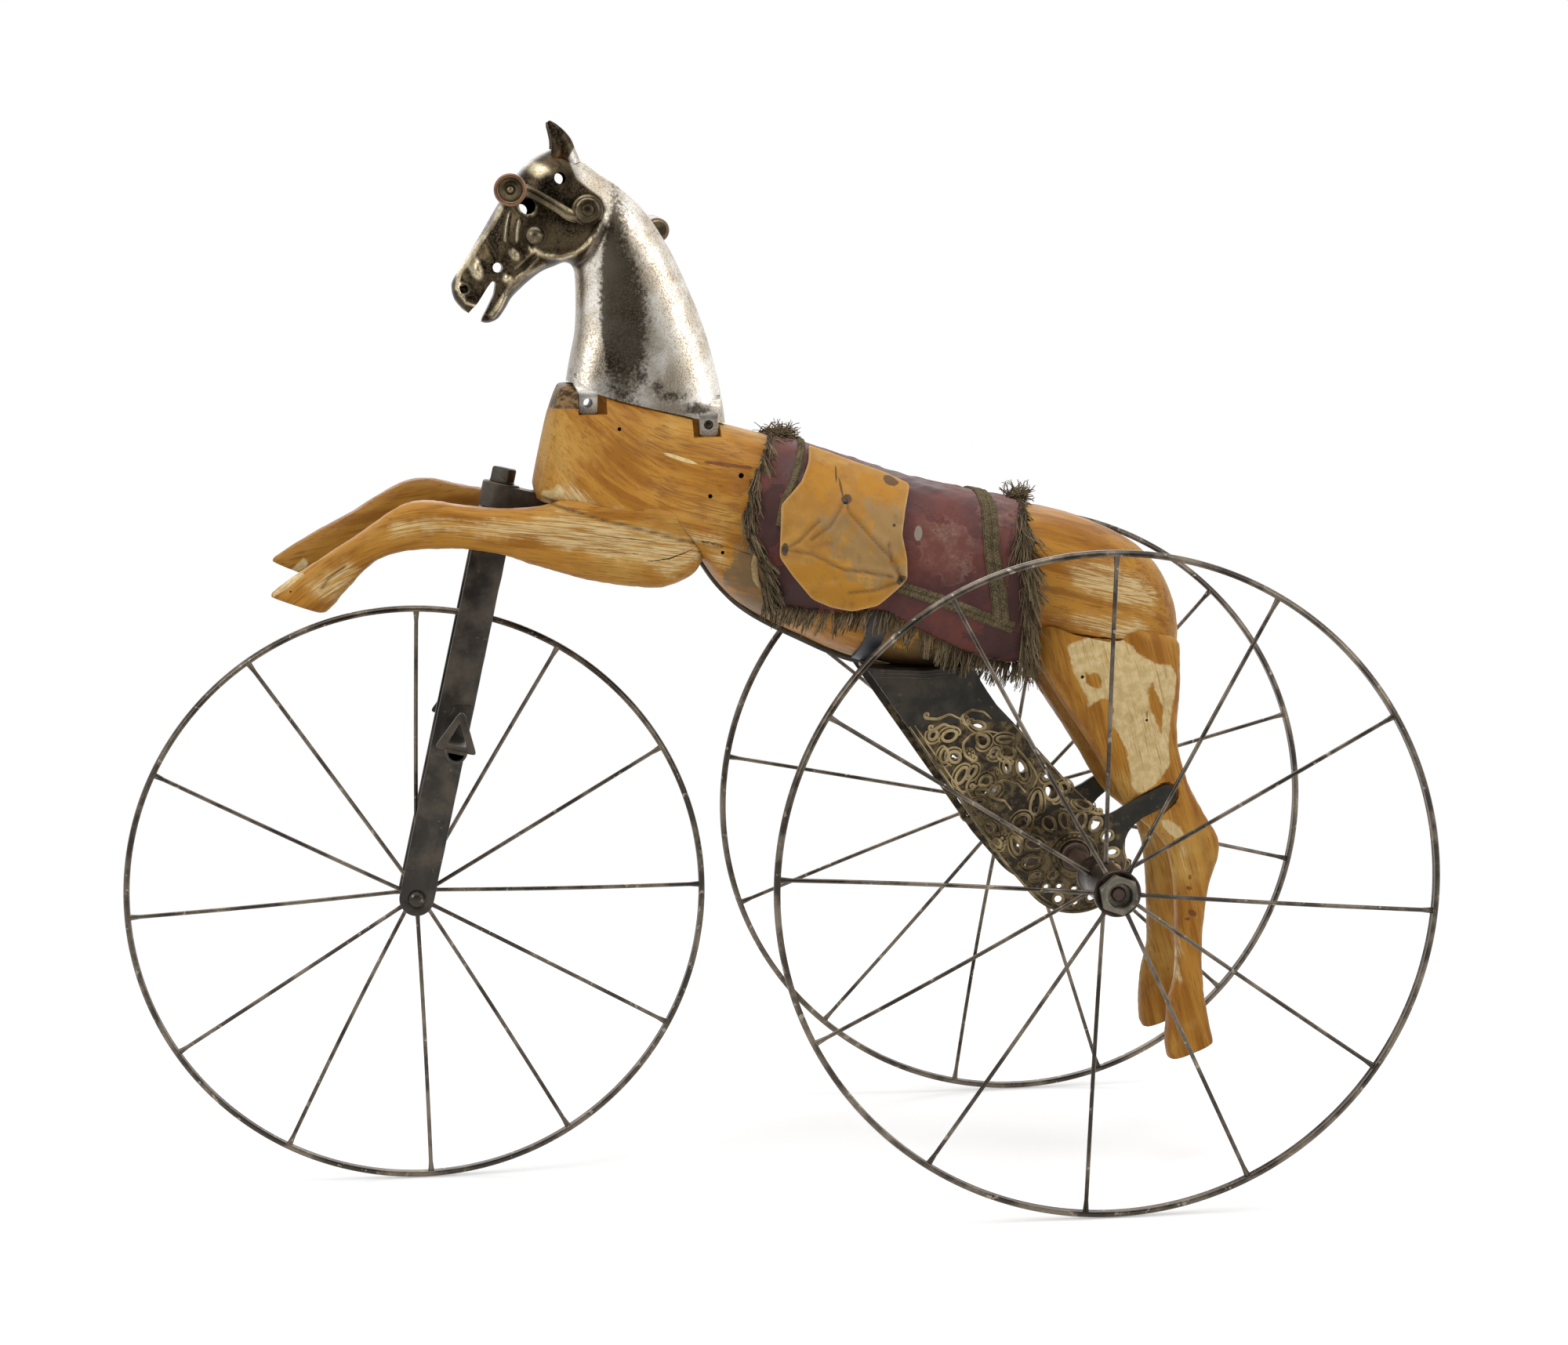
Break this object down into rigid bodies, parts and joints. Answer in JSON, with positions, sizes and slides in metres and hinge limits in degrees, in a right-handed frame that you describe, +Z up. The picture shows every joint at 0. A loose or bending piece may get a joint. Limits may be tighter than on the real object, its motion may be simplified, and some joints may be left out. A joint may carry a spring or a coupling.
{
  "type": "child's hand-cranked horse tricycle velocipede",
  "caption": "Child's velocipede in the form of a galloping wooden horse with a cast metal head, a hand crank, pierced iron side plates, wire wheels and a steered front fork.",
  "frame": {"origin": "on the floor under the middle of the whole machine", "axes": "+X forward, towards the horse's head; +Y to the horse's left; +Z up"},
  "size_m": [1.0441, 0.5472, 0.8729],
  "materials": {
    "worn_wood": "worn varnish with patches of old pale filler",
    "turned_wood": "polished by hands",
    "wheel_iron": "worn plating over dark iron",
    "dark_iron": "old black paint and iron",
    "brown_iron": "brown with rust",
    "plated_casting": "worn nickel plating, warm in the hollows",
    "red_leathercloth": "cracked dark red leathercloth",
    "ochre_leather": "worn ochre leathercloth"
  },
  "bodies": {
    "frame": {"trunk": "worn_wood", "foreleg_left": "worn_wood", "foreleg_right": "worn_wood", "hind_leg_left": "worn_wood", "hind_leg_right": "worn_wood", "head_half_left": "plated_casting", "head_half_right": "plated_casting", "side_plate_left": "dark_iron", "side_plate_right": "dark_iron", "plate_shelf_left": "dark_iron", "plate_shelf_right": "dark_iron", "steering_bracket": "dark_iron", "saddle_cloth": "red_leathercloth", "saddle_flap_left": "ochre_leather", "saddle_flap_right": "ochre_leather", "flank_strap_left": "dark_iron", "flank_strap_right": "dark_iron"},
    "rear_axle": {"rear_axle": "brown_iron", "chain_wheel": "brown_iron", "rear_rim_left": "wheel_iron", "rear_hub_left": "wheel_iron", "rear_nut_left": "dark_iron", "rear_nut_right": "dark_iron"},
    "right_wheel": {"rear_rim_right": "wheel_iron", "rear_hub_right": "wheel_iron"},
    "fork": {"fork_crown": "dark_iron", "fork_blade_left": "dark_iron", "fork_blade_right": "dark_iron", "steering_bolt": "dark_iron", "footrest_left": "dark_iron", "footrest_right": "dark_iron", "front_axle": "brown_iron"},
    "front_wheel": {"front_rim": "wheel_iron", "front_hub": "wheel_iron"},
    "crank": {"crank_axle": "brown_iron", "crank_arm_left": "plated_casting", "crank_arm_right": "plated_casting", "handle_left": "turned_wood", "handle_right": "turned_wood"}
  },
  "joints": [
    {"name": "rear_axle_turn", "type": "hinge", "parent": "frame", "child": "rear_axle", "pos_m": [-0.25715, 0, 0.265], "axis": [0, 1, 0], "continuous": true},
    {"name": "right_wheel_turn", "type": "hinge", "parent": "rear_axle", "child": "right_wheel", "pos_m": [-0.25715, -0.23085, 0.265], "axis": [0, 1, 0], "continuous": true},
    {"name": "steering", "type": "hinge", "parent": "frame", "child": "fork", "pos_m": [0.20435, 0, 0.56847], "axis": [-0.2298, 0, 0.9732], "range_deg": [-35, 35]},
    {"name": "front_wheel_turn", "type": "hinge", "parent": "fork", "child": "front_wheel", "pos_m": [0.28185, 0, 0.2403], "axis": [0, 1, 0], "continuous": true},
    {"name": "crank_turn", "type": "hinge", "parent": "frame", "child": "crank", "pos_m": [0.12885, 0, 0.79947], "axis": [0, 1, 0], "continuous": true}
  ]
}
